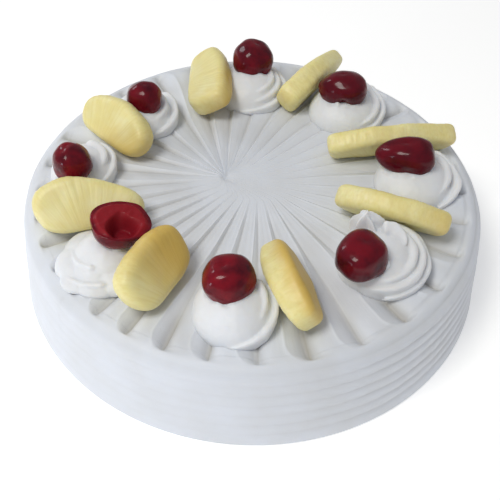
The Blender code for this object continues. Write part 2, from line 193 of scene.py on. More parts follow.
def face_outward(bm: bmesh.types.BMesh) -> None:
    """Merge doubled points and make every face of a closed shape point out.

    Args:
        bm: The shape.
    """
    bmesh.ops.remove_doubles(bm, verts=bm.verts, dist=MERGE_DISTANCE)
    bmesh.ops.recalc_face_normals(bm, faces=bm.faces)
    if bm.calc_volume(signed=True) < 0:
        bmesh.ops.reverse_faces(bm, faces=bm.faces)


def keep_largest_shell(bm: bmesh.types.BMesh) -> None:
    """Delete every separate shell except the one with the most points.

    Args:
        bm: The shape.
    """
    waiting = set(bm.verts)
    largest: set[bmesh.types.BMVert] = set()
    while waiting:
        edge_of_shell = [waiting.pop()]
        shell = set(edge_of_shell)
        while edge_of_shell:
            vert = edge_of_shell.pop()
            for edge in vert.link_edges:
                other = edge.other_vert(vert)
                if other in waiting:
                    waiting.discard(other)
                    shell.add(other)
                    edge_of_shell.append(other)
        if len(shell) > len(largest):
            largest = shell
    spare = [vert for vert in bm.verts if vert not in largest]
    bmesh.ops.delete(bm, geom=spare, context="VERTS")


def one_skin(bm: bmesh.types.BMesh, voxel: float, smoothing: int) -> bmesh.types.BMesh:
    """Wrap overlapping shapes in one even, closed skin.

    Args:
        bm: The overlapping closed shapes. It is freed.
        voxel: The size of the skin's faces.
        smoothing: How many times the skin is smoothed.

    Returns:
        A new bmesh that holds the skin.
    """
    face_outward(bm)
    holder = mesh_object("overlapping_shapes", bm)
    mesh = holder.data
    wrap = holder.modifiers.new("one_skin", "REMESH")
    wrap.mode = "VOXEL"
    wrap.voxel_size = voxel
    skin = bmesh.new()
    skin.from_object(holder, bpy.context.evaluated_depsgraph_get())
    bpy.data.objects.remove(holder, do_unlink=True)
    bpy.data.meshes.remove(mesh)
    keep_largest_shell(skin)
    smooth(skin, smoothing)
    skin.normal_update()
    return skin


def finished_piece(
    name: str, bm: bmesh.types.BMesh, node: str, material: bpy.types.Material
) -> bpy.types.Object:
    """Turn a closed bmesh into a smooth, dressed piece that stands for a node of the frame.

    Args:
        name: The piece's name.
        bm: Its shape, in the frame's own place. It is freed.
        node: The node that it replaces.
        material: Its material.

    Returns:
        The new object.
    """
    face_outward(bm)
    piece = mesh_object(name, bm)
    piece.data.shade_smooth()
    piece.data.materials.append(material)
    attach(piece, BODY)
    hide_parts(node)
    return piece


@dataclass(frozen=True)
class NodeSketch:
    """A material's node tree, with short ways to add and join nodes."""

    material: bpy.types.Material

    @property
    def shader(self) -> bpy.types.Node:
        """Return the Principled shader."""
        return self.material.node_tree.nodes["Principled BSDF"]

    def add(self, kind: str, **values: object) -> bpy.types.Node:
        """Add a node.

        Args:
            kind: The node's type name.
            **values: Properties of the node, or values of its sockets where it has no such property.

        Returns:
            The new node.
        """
        node = self.material.node_tree.nodes.new(kind)
        for name, value in values.items():
            if hasattr(node, name):
                setattr(node, name, value)
            else:
                node.inputs[name.replace("_", " ").title()].default_value = value
        return node

    def join(self, output: Socket, target: Socket) -> None:
        """Link an output to an input."""
        self.material.node_tree.links.new(output, target)

    def object_place(self) -> Socket:
        """Return the object coordinates of the shaded point."""
        return self.add("ShaderNodeTexCoord").outputs["Object"]

    def attribute(self, name: str, output: str = "Fac") -> Socket:
        """Return the number, or as "Vector" the place, that the mesh stores under a name."""
        return self.add("ShaderNodeAttribute", attribute_name=name).outputs[output]

    def set_shader(self, values: dict[str, object]) -> None:
        """Give the shader's sockets their values, by name."""
        for name, value in values.items():
            self.shader.inputs[name].default_value = value

    def let_light_in(self, weight: float, depth: float, radius: Triple) -> None:
        """Let light into the surface: how much of it, how deep and how far each colour goes."""
        names = ("Subsurface Weight", "Subsurface Scale", "Subsurface Radius")
        self.set_shader(dict(zip(names, (weight, depth, radius))))

    def scaled(self, place: Socket, scale: Triple) -> Socket:
        """Stretch a place.

        Args:
            place: The place.
            scale: The factor along each axis.

        Returns:
            The stretched place.
        """
        mapping = self.add("ShaderNodeMapping")
        mapping.inputs["Scale"].default_value = scale
        self.join(place, mapping.inputs["Vector"])
        return mapping.outputs["Vector"]

    def noise(self, place: Socket, scale: float, detail: float = 3.0) -> Socket:
        """Make fractal noise.

        Args:
            place: Where it is read.
            scale: How fine it is, in lumps to a unit of the place.
            detail: How many finer layers lie on it.

        Returns:
            The noise, from 0 to 1.
        """
        made = self.add("ShaderNodeTexNoise", scale=scale, detail=detail)
        self.join(place, made.inputs["Vector"])
        return made.outputs["Fac"]

    def ranged(self, value: Socket, low: float, high: float, to_low: float, to_high: float) -> Socket:
        """Map a value from one range to another.

        Args:
            value: The value.
            low: Where its range starts.
            high: Where its range ends.
            to_low: What it becomes at and below the start.
            to_high: What it becomes at and above the end.

        Returns:
            The mapped value.
        """
        made = self.add("ShaderNodeMapRange")
        limits = {"From Min": low, "From Max": high, "To Min": to_low, "To Max": to_high}
        for name, number in limits.items():
            made.inputs[name].default_value = number
        self.join(value, made.inputs["Value"])
        return made.outputs["Result"]

    def patches(self, place: Socket, per_metre: float, limits: Pair, most: float) -> Socket:
        """Return soft patches from 0 to the most, where noise passes from one limit to the other."""
        return self.ranged(self.noise(place, per_metre), *limits, 0.0, most)

    def blended(self, share: Socket, first: Socket | Triple, second: Socket | Triple) -> Socket:
        """Mix two colours.

        Args:
            share: How much of the second colour shows.
            first: The colour at share 0.
            second: The colour at share 1.

        Returns:
            The mixed colour.
        """
        made = self.material.node_tree.nodes.new("ShaderNodeMix")
        made.data_type = "RGBA"
        self.join(share, made.inputs["Factor"])
        for socket, colour in (("A", first), ("B", second)):
            target = next(s for s in made.inputs if s.name == socket and s.type == "RGBA")
            if isinstance(colour, tuple):
                target.default_value = (*colour, 1.0)
            else:
                self.join(colour, target)
        return next(s for s in made.outputs if s.type == "RGBA")

    def bumped(self, height: Socket, distance: float, under: Socket | None = None) -> Socket:
        """Raise the surface's shading.

        Args:
            height: The relief, from 0 to 1.
            distance: How high 1 stands, in metres.
            under: Another bump that this one lies on.

        Returns:
            The normal.
        """
        made = self.add("ShaderNodeBump", strength=1.0, distance=distance)
        self.join(height, made.inputs["Height"])
        if under is not None:
            self.join(under, made.inputs["Normal"])
        return made.outputs["Normal"]


def new_material(name: str) -> NodeSketch:
    """Start a node material.

    Args:
        name: The material's name.

    Returns:
        The sketch of its node tree.
    """
    material = bpy.data.materials.new(name)
    material.use_nodes = True
    return NodeSketch(material)


@dataclass(frozen=True)
class CreamFinish:
    """Whipped cream: matt, a little translucent, with fine bubbles and the tool's drag marks."""

    tool: CreamTool
    colour: Triple = (0.736, 0.765, 0.828)
    shade: Triple = (0.702, 0.722, 0.762)
    # Painted shade: the darker, warm grey mixed into the scraped cream's valleys and grooves
    painted_shade: Triple = (0.495, 0.480, 0.450)
    # Painted light: the piped cream is the same cream painted lighter, for its brighter mounds
    lit_piped_colour: Triple = (0.812, 0.828, 0.862)
    lit_piped_patch_colour: Triple = (0.775, 0.783, 0.798)
    roughness: float = 0.52
    subsurface: float = 0.25
    piped_subsurface: float = 0.70
    subsurface_depth: float = 0.003
    subsurface_radius: Triple = (1.0, 0.9, 0.8)
    patches_per_metre: float = 55.0
    patch_limits: Pair = (0.35, 0.70)
    bubbles_per_metre: float = 1500.0
    bubble_height: float = 0.00005
    drag_height: float = 0.00013

    def material(self) -> bpy.types.Material:
        """Mix the cream's colours, bubbles and drag marks, with painted shade in the scraped valleys and
        grooves.

        Returns:
            The material.
        """
        sketch = new_material(f"cream_{self.tool.value}")
        place = sketch.object_place()
        patches = sketch.patches(place, self.patches_per_metre, self.patch_limits, 1.0)
        normal = sketch.bumped(sketch.noise(place, self.bubbles_per_metre), self.bubble_height)
        if self.tool is CreamTool.PIPING_TIP:
            # Painted light: piped cream takes the lighter copy of the cream's colours
            tone = sketch.blended(patches, self.lit_piped_colour, self.lit_piped_patch_colour)
            subsurface = self.piped_subsurface
        else:
            tone = sketch.blended(patches, self.colour, self.shade)
            # Painted shade: valleys and grooves are darkened by the share that the body stores
            tone = sketch.blended(sketch.attribute("painted_shade"), tone, self.painted_shade)
            subsurface = self.subsurface
            drag = sketch.noise(sketch.attribute("drag", "Vector"), 1.0, detail=4.0)
            normal = sketch.bumped(drag, self.drag_height, normal)
        sketch.set_shader({"Roughness": self.roughness})
        sketch.let_light_in(subsurface, self.subsurface_depth, self.subsurface_radius)
        sketch.join(tone, sketch.shader.inputs["Base Color"])
        sketch.join(normal, sketch.shader.inputs["Normal"])
        return sketch.material


@dataclass(frozen=True)
class CherryFinish:
    """Syrup-coated cherry skin: dark red, glossy, slightly wrinkled, with bright flesh where cut."""

    colour: Triple = (0.208, 0.005, 0.014)
    dark: Triple = (0.062, 0.002, 0.008)
    flesh: Triple = (0.255, 0.012, 0.019)
    roughness: float = 0.22
    flesh_roughness: float = 0.50
    gloss: float = 0.10
    coat: float = 0.22
    flesh_coat: float = 0.04
    coat_roughness: float = 0.06
    subsurface: float = 0.15
    subsurface_depth: float = 0.002
    subsurface_radius: Triple = (1.0, 0.1, 0.1)
    mottles_per_metre: float = 130.0
    mottle_limits: Pair = (0.35, 0.70)
    cut_limits: Pair = (0.0, 0.4)
    wrinkles_per_metre: float = 420.0
    wrinkle_height: float = 0.00010

    def material(self) -> bpy.types.Material:
        """Mix the skin, its per-cherry darkening (own deeper red and painted shade), the cut flesh and
        the syrup's gloss.

        Returns:
            The material.
        """
        sketch = new_material("cherry_skin")
        inputs = sketch.shader.inputs
        sketch.set_shader({"Specular IOR Level": self.gloss, "Coat Roughness": self.coat_roughness})
        sketch.let_light_in(self.subsurface, self.subsurface_depth, self.subsurface_radius)
        place = sketch.object_place()
        mottle = sketch.patches(place, self.mottles_per_metre, self.mottle_limits, 1.0)
        skin = sketch.blended(mottle, self.colour, self.dark)
        # Darker skin per cherry: partly its own deeper red, partly painted shade on the cherries that get
        # less light
        skin = sketch.blended(sketch.attribute("darker_tone_and_shade"), skin, self.dark)
        cut = sketch.attribute("flesh")
        sketch.join(sketch.blended(cut, skin, self.flesh), inputs["Base Color"])
        roughness = sketch.ranged(cut, *self.cut_limits, self.roughness, self.flesh_roughness)
        sketch.join(roughness, inputs["Roughness"])
        coat = sketch.ranged(cut, *self.cut_limits, self.coat, self.flesh_coat)
        sketch.join(coat, inputs["Coat Weight"])
        wrinkles = sketch.noise(place, self.wrinkles_per_metre, detail=2.0)
        sketch.join(sketch.bumped(wrinkles, self.wrinkle_height), inputs["Normal"])
        return sketch.material


@dataclass(frozen=True)
class PineappleFinish:
    """Tinned pineapple: pale yellow, moist, translucent, with fibres from core to rind."""

    colour: Triple = (0.830, 0.745, 0.345)
    deep: Triple = (0.725, 0.605, 0.215)
    golden: Triple = (0.680, 0.470, 0.108)
    pale: Triple = (0.880, 0.835, 0.510)
    roughness: float = 0.48
    coat: float = 0.08
    coat_roughness: float = 0.15
    subsurface: float = 0.35
    subsurface_depth: float = 0.004
    subsurface_radius: Triple = (1.0, 0.8, 0.3)
    blotches_per_metre: float = 90.0
    blotch_limits: Pair = (0.45, 0.75)
    blotch_share: float = 0.80
    mellow_patches_per_metre: float = 60.0
    mellow_limits: Pair = (0.48, 0.72)
    mellow_share: float = 0.55
    streak_limits: Pair = (0.40, 0.72)
    streak_share: float = 0.44
    fibre_stretch: Triple = (1.0, 0.12, 1.0)
    fibre_height: float = 0.00009

    def material(self) -> bpy.types.Material:
        """Mix the fruit's fibres, pale blotches and golden side.

        Returns:
            Mix the fruit's fibres, pale blotches and golden side, partly its own gold and partly painted
            shade.
        """
        sketch = new_material("pineapple_flesh")
        sketch.set_shader({
            "Roughness": self.roughness,
            "Coat Weight": self.coat,
            "Coat Roughness": self.coat_roughness,
        })
        sketch.let_light_in(self.subsurface, self.subsurface_depth, self.subsurface_radius)
        place = sketch.object_place()
        along_fibres = sketch.scaled(sketch.attribute("fibre", "Vector"), self.fibre_stretch)
        fibres = sketch.noise(along_fibres, 1.0, detail=4.0)
        streaks = sketch.ranged(fibres, *self.streak_limits, 0.0, self.streak_share)
        blotches = sketch.patches(
            place, self.blotches_per_metre, self.blotch_limits, self.blotch_share
        )
        mellow = sketch.patches(
            place, self.mellow_patches_per_metre, self.mellow_limits, self.mellow_share
        )
        tone = sketch.blended(blotches, self.colour, self.pale)
        tone = sketch.blended(mellow, tone, self.deep)
        tone = sketch.blended(streaks, tone, self.deep)
        # Golden side: partly the fruit's own gold, partly painted shade on the faces turned from the
        # light
        tone = sketch.blended(sketch.attribute("darker_tone_and_shade"), tone, self.golden)
        sketch.join(tone, sketch.shader.inputs["Base Color"])
        sketch.join(sketch.bumped(fibres, self.fibre_height), sketch.shader.inputs["Normal"])
        return sketch.material


@dataclass(frozen=True)
class FloorFinish:
    """A plain, nearly white floor."""

    colour: Quad = (0.93, 0.93, 0.93, 1.0)
    roughness: float = 0.9
    glow_colour: Quad = (1.0, 1.0, 1.0, 1.0)
    glow: float = 0.32

    def material(self) -> bpy.types.Material:
        """Make the floor's plain, faintly glowing paint.

        Returns:
            The material.
        """
        sketch = new_material("pale_floor")
        sketch.set_shader({
            "Base Color": self.colour,
            "Roughness": self.roughness,
            "Emission Color": self.glow_colour,
            "Emission Strength": self.glow,
        })
        return sketch.material


@dataclass(frozen=True)
class CakeBody:
    """The cream-covered body: a top of scraped strokes, a notched rim and a combed side."""

    # The form that is spun
    base_radius: float
    top_height: float
    side_top_radius: float = 0.105
    rim_radius: float = 0.096
    shoulder_drop: float = 0.007
    centre_dip: float = 0.0006
    base_edge: float = 0.0008
    # The scraper's strokes: how many, where they start and how deep they go
    strokes: int = 33
    first_stroke: float = math.radians(-136.8)
    stroke_swing: float = math.radians(5.8)
    stroke_waves: int = 2
    stroke_depth: float = 0.0048
    inner_depth_share: float = 0.55
    deepening_radius: float = 0.074
    deepest_radius: float = 0.0945
    # The form of one stroke: a steep rise to its crest, a thin burr there and a gentle fall
    rise_power: float = 0.6
    crest_share: float = 0.58
    crest_jitter: float = 0.06
    inner_crest: float = 1.42
    inner_crest_radii: Pair = (0.040, 0.085)
    widest_crest: float = 0.84
    valley_shares: Pair = (0.72, 1.12)
    burr_height: float = 0.00035
    burr_width: float = 0.03
    # The notches that the strokes cut into the rim
    level_start: float = 0.0770
    notch_bend_radius: float = 0.0915
    notch_radius: float = 0.0990
    notch_last_crest: float = 0.76
    notch_fade: float = 0.006
    # The middle of the top: where the strokes meet, their creases and ripples, and the small eye
    front_direction: float = math.radians(-60)
    front_meeting: Pair = (0.003, 0.000)
    back_meeting: Pair = (-0.0133, 0.0042)
    bend_radius: float = 0.013
    calm_radius: float = 0.012
    calm_width: float = 0.018
    pinch_depth: float = 0.00095
    pinch_radius: float = 0.016
    pinch_everywhere: float = 0.10
    pinch_direction: float = math.radians(108)
    soft_direction: float = math.radians(25)
    soft_radii: Pair = (0.045, 0.075)
    ripple_depth: float = 0.00022
    ripples: int = 3
    ripple_rise: float = 0.010
    ripple_fall: Pair = (0.045, 0.080)
    eye_depth: float = 0.0016
    eye_radius: float = 0.0021
    # Where shade is painted into the valleys
    painted_shade_start: float = 0.042
    painted_shade_radius: float = 0.087
    groove_painted_shade: float = 0.3
    # The comb's grooves, firmest in one direction
    groove_lowest: float = 0.0073
    groove_pitch: float = 0.0059
    groove_depth: float = 0.0010
    groove_sharpness: float = 0.6
    groove_wander: float = 0.0006
    groove_direction: float = math.radians(-18)
    groove_firmness: Triple = (0.15, 0.90, 0.10)
    groove_fade_turn: float = math.radians(12)
    shoulder_groove_share: float = 0.85
    # The cream's own unevenness and how the tool's drag marks are stretched
    swells: tuple[Triple, ...] = ((0.00022, 60.0, 0.0), (0.00010, 190.0, 3.0))
    side_drag: Pair = (3.0, 900.0)
    top_drag: Pair = (40.0, 30.0)
    # How finely the surface is divided
    top_row: float = 0.0015
    shoulder_rows: int = 24
    side_row: float = 0.00055
    seed: int = 7

    # Where a stroke is divided across: closest in its valley and at its crest
    STROKE_FRACTIONS = (
        0.0, 0.025, 0.06, 0.11, 0.17, 0.24, 0.31, 0.38, 0.45, 0.52, 0.56, 0.58, 0.61, 0.68, 0.78, 0.90
    )

    def stroke_angle(self, index: int) -> float:
        """Work out where a stroke begins.

        Args:
            index: The stroke's number, from 0.

        Returns:
            The angle of its valley.
        """
        pitch = FULL_TURN / self.strokes
        swing = self.stroke_swing * math.sin(FULL_TURN * self.stroke_waves * index / self.strokes)
        return self.first_stroke + pitch * index - swing

    def stroke_habits(self) -> list[Pair]:
        """Draw each stroke's own habits.

        Returns:
            For each stroke, its crest's share of the width and its valley's share of the depth.
        """
        chance = random.Random(self.seed)
        habits = []
        for _ in range(self.strokes):
            crest = self.crest_share + chance.uniform(-self.crest_jitter, self.crest_jitter)
            habits.append((crest, chance.uniform(*self.valley_shares)))
        return habits

    def side_radius(self, height: float) -> float:
        """Return the radius of the tapering side at a height."""
        share = height / (self.top_height - self.shoulder_drop)
        return self.base_radius + (self.side_top_radius - self.base_radius) * share

    def outline(self) -> list[Vector]:
        """Draw the outline that is spun.

        Returns:
            Its points, from the middle of the top to the middle of the base.
        """
        points = [Vector((0.0, 0.0, self.top_height - self.centre_dip))]
        top_rows = round(self.rim_radius / self.top_row)
        for row in range(1, top_rows + 1):
            share = row / top_rows
            height = self.top_height - self.centre_dip * (1 - share)
            points.append(Vector((self.rim_radius * share, 0.0, height)))
        for row in range(1, self.shoulder_rows + 1):
            turn = math.pi / 2 * row / self.shoulder_rows
            radius = self.rim_radius + (self.side_top_radius - self.rim_radius) * math.sin(turn)
            height = self.top_height - self.shoulder_drop * (1 - math.cos(turn))
            points.append(Vector((radius, 0.0, height)))
        side_height = self.top_height - self.shoulder_drop - self.base_edge
        side_rows = round(side_height / self.side_row)
        for row in range(1, side_rows + 1):
            height = self.base_edge + side_height * (1 - row / side_rows)
            points.append(Vector((self.side_radius(height), 0.0, height)))
        points.append(Vector((self.base_radius - self.base_edge, 0.0, 0.0)))
        points.append(Vector((0.0, 0.0, 0.0)))
        return points

    def stroke_drop(
        self, radius: float, angle: float, fraction: float, crest: float, depths: Pair
    ) -> float:
        """Return how far the scraped surface lies below the smooth top.

        Args:
            radius: Distance from the cake's middle line.
            angle: Direction from the middle line.
            fraction: Place across the stroke, from its valley, 0, to the next one, 1.
            crest: Where across the stroke its crest is.
            depths: The shares of the full depth in the valleys before and after the stroke.

        Returns:
            The depth in metres. It is negative on the burr along the crest.
        """
        if fraction <= crest:
            shape = depths[0] * (1 - (fraction / crest) ** self.rise_power)
            walled = (1 - fraction / crest) ** 3
        else:
            walled = between(fraction, crest, 1.0)
            shape = depths[1] * walled
        closing = between(radius, self.deepest_radius, self.notch_radius)
        wall = math.sqrt(1 - closing ** 2)
        level = 1 - ease(between(radius, self.level_start, self.deepest_radius))
        outer = self.full_depth(radius) * (wall * walled + min(wall, level) * (1 - walled))
        near = radius / self.pinch_radius
        pinched = max(0.0, math.cos(angle - self.pinch_direction)) ** 2
        share = self.pinch_everywhere + (1 - self.pinch_everywhere) * pinched
        inner = self.pinch_depth * share * near * math.exp(1 - near)
        calm = 1 - ease((radius - self.calm_radius) / self.calm_width)
        firm = 1 - calm * (1 - pinched)
        soft = max(0.0, math.cos(angle - self.soft_direction)) / 2
        outer *= firm * (1 - soft * (1 - ease(between(radius, *self.soft_radii))))
        burr = self.burr_height * (radius / self.rim_radius) * (1 - closing)
        burr *= bell((fraction - crest) / self.burr_width)
        fade = ease(radius / self.ripple_rise) * (1 - ease(between(radius, *self.ripple_fall)))
        ripple = self.ripple_depth * fade * firm * (1 - soft)
        ripple *= 1 - math.sqrt(abs(math.sin(math.pi * self.ripples * fraction)))
        eye = self.eye_depth * bell(radius / self.eye_radius)
        return shape * (outer + inner) + ripple - burr + eye

    def meeting_shift(self, radius: float, angle: float) -> Vector:
        """Work out how far a stroke leans aside, so that it meets the others at its own place.

        Args:
            radius: Distance from the cake's middle line.
            angle: Direction from the middle line.

        Returns:
            The level shift.
        """
        frontness = (1 + math.cos(angle - self.front_direction)) / 2
        front = Vector((*self.front_meeting, 0.0))
        back = Vector((*self.back_meeting, 0.0))
        meeting = back + (front - back) * frontness * ease(radius / self.bend_radius)
        return meeting * max(0.0, 1 - radius / self.rim_radius)

    def full_depth(self, radius: float) -> float:
        """Work out how deep the valleys are.

        Args:
            radius: Distance from the cake's middle line.

        Returns:
            The full depth of a valley in metres.
        """
        inner = min(radius, self.deepest_radius) / self.deepest_radius
        outer = ease(between(radius, self.deepening_radius, self.deepest_radius))
        return self.stroke_depth * (self.inner_depth_share * inner + (1 - self.inner_depth_share) * outer)

    def painted_shade_share(self, radius: float, drop: float) -> float:
        """Work out how much shade is painted on a place on the top.

        Args:
            radius: Its distance from the cake's middle line.
            drop: How far it lies below the smooth top.

        Returns:
            How far down its valley it lies, from 0 to 1, less near the middle: its share of painted
            shade.
        """
        firmness = (1 + ease(between(radius, self.level_start, self.painted_shade_radius))) / 2
        firmness *= ease(between(radius, self.calm_radius, self.painted_shade_start))
        return firmness * clamp(drop / self.full_depth(radius)) ** 1.5

    def groove_cut(self, angle: float, reach: float) -> float:
        """Return how deep the comb's grooves cut into the side.

        Args:
            angle: Direction from the cake's middle line.
            reach: Distance up the side and over the shoulder, from the base.

        Returns:
            The depth in metres.
        """
        outward = level_direction(angle)
        wander = self.groove_wander * noise.noise(outward * 2.2)
        phase = (reach + wander - self.groove_lowest) / self.groove_pitch
        if phase < -0.5:
            return 0.0
        least, gain, unevenness = self.groove_firmness
        firmness = least + gain * max(0.0, math.cos(angle - self.groove_direction)) ** 2
        firmness += unevenness * noise.noise(outward * 5.0)
        ridge = abs(math.sin(math.pi * phase)) ** self.groove_sharpness
        return self.groove_depth * firmness * (1 - ridge)

    def settle(
        self, vert: bmesh.types.BMVert, habits: list[Pair]
    ) -> tuple[Vector, float]:
        """Move one spun point onto the worked cream.

        Args:
            vert: The point, still on the smooth spun form.
            habits: What stroke_habits returned.

        Returns:
            The place where the fine drag marks of the tool are read, and how much shade is painted on it.
        """
        radius = math.hypot(vert.co.x, vert.co.y)
        height = vert.co.z
        side_top = self.top_height - self.shoulder_drop
        per_stroke = len(self.STROKE_FRACTIONS)
        column = round(math.atan2(vert.co.y, vert.co.x) / FULL_TURN * self.strokes * per_stroke)
        index, part = divmod(column % (self.strokes * per_stroke), per_stroke)
        crest, depth = habits[index]
        outwards = ease(between(radius, *self.inner_crest_radii))
        crest = min(crest * (self.inner_crest + (1 - self.inner_crest) * outwards), self.widest_crest)
        depths = (depth, habits[(index + 1) % self.strokes][1])
        if height >= side_top:
            bend = between(radius, self.notch_bend_radius, self.notch_radius) ** 2
            bend *= 1 - ease((radius - self.notch_radius) / self.notch_fade)
            crest += (self.notch_last_crest - crest) * bend
        fraction = self.STROKE_FRACTIONS[part]
        if fraction <= self.crest_share:
            fraction *= crest / self.crest_share
        else:
            fraction = 1 - (1 - fraction) * (1 - crest) / (1 - self.crest_share)
        valley = self.stroke_angle(index)
        angle = valley + fraction * (self.stroke_angle(index + 1) - valley)
        drag = Vector((angle * self.side_drag[0], height * self.side_drag[1], 5.0))
        cut = 0.0
        drop = 0.0
        turn = math.pi / 2
        if height > side_top + MERGE_DISTANCE:
            drop = self.stroke_drop(radius, angle, fraction, crest, depths)
            if radius <= self.rim_radius + MERGE_DISTANCE:
                drag = Vector((angle * self.top_drag[0], radius * self.top_drag[1], 0.0))
            else:
                turn = math.acos(clamp(1 - (self.top_height - height) / self.shoulder_drop))
                shoulder = (self.side_top_radius - self.rim_radius + self.shoulder_drop) / 2
                reach = side_top + shoulder * (math.pi / 2 - turn)
                cut = self.shoulder_groove_share * self.groove_cut(angle, reach)
                cut *= ease(turn / self.groove_fade_turn)
        elif height > self.base_edge:
            cut = self.groove_cut(angle, height)
        # Painted shade: the comb's grooves and the strokes' valleys are darkened in colour
        painted_shade = self.groove_painted_shade * clamp(cut / self.groove_depth)
        if drop > 0:
            painted_shade = max(self.painted_shade_share(radius, drop), painted_shade)
        radius -= cut * math.sin(turn)
        height -= cut * math.cos(turn) + drop
        outward = level_direction(angle)
        place = outward * radius + UP * height + self.meeting_shift(radius, angle)
        if height > self.base_edge:
            upness = ease((height - side_top) / self.shoulder_drop)
            place += (outward * (1 - upness) + UP * upness) * swell(place, self.swells)
        vert.co = place
        return drag, painted_shade

    def build(self, finish: bpy.types.Material) -> bpy.types.Object:
        """Spin the outline and work its surface.

        Args:
            finish: The scraped cream's material.

        Returns:
            The dressed body.
        """
        bm = bmesh.new()
        outline = [bm.verts.new(point) for point in self.outline()]
        edges = [bm.edges.new(pair) for pair in zip(outline, outline[1:])]
        bmesh.ops.spin(
            bm, geom=outline + edges, cent=(0, 0, 0), axis=(0, 0, 1), angle=FULL_TURN,
            steps=self.strokes * len(self.STROKE_FRACTIONS), use_merge=True, use_duplicate=False,
        )
        bmesh.ops.remove_doubles(bm, verts=bm.verts, dist=MERGE_DISTANCE)
        drag_layer = bm.verts.layers.float_vector.new("drag")
        painted_shade_layer = bm.verts.layers.float.new("painted_shade")
        habits = self.stroke_habits()
        for vert in bm.verts:
            if math.hypot(vert.co.x, vert.co.y) > MERGE_DISTANCE:
                vert[drag_layer], vert[painted_shade_layer] = self.settle(vert, habits)
            elif vert.co.z > 0:
                vert.co += self.meeting_shift(0.0, 0.0) - UP * self.eye_depth
        return finished_piece("cream_body", bm, "cake", finish)


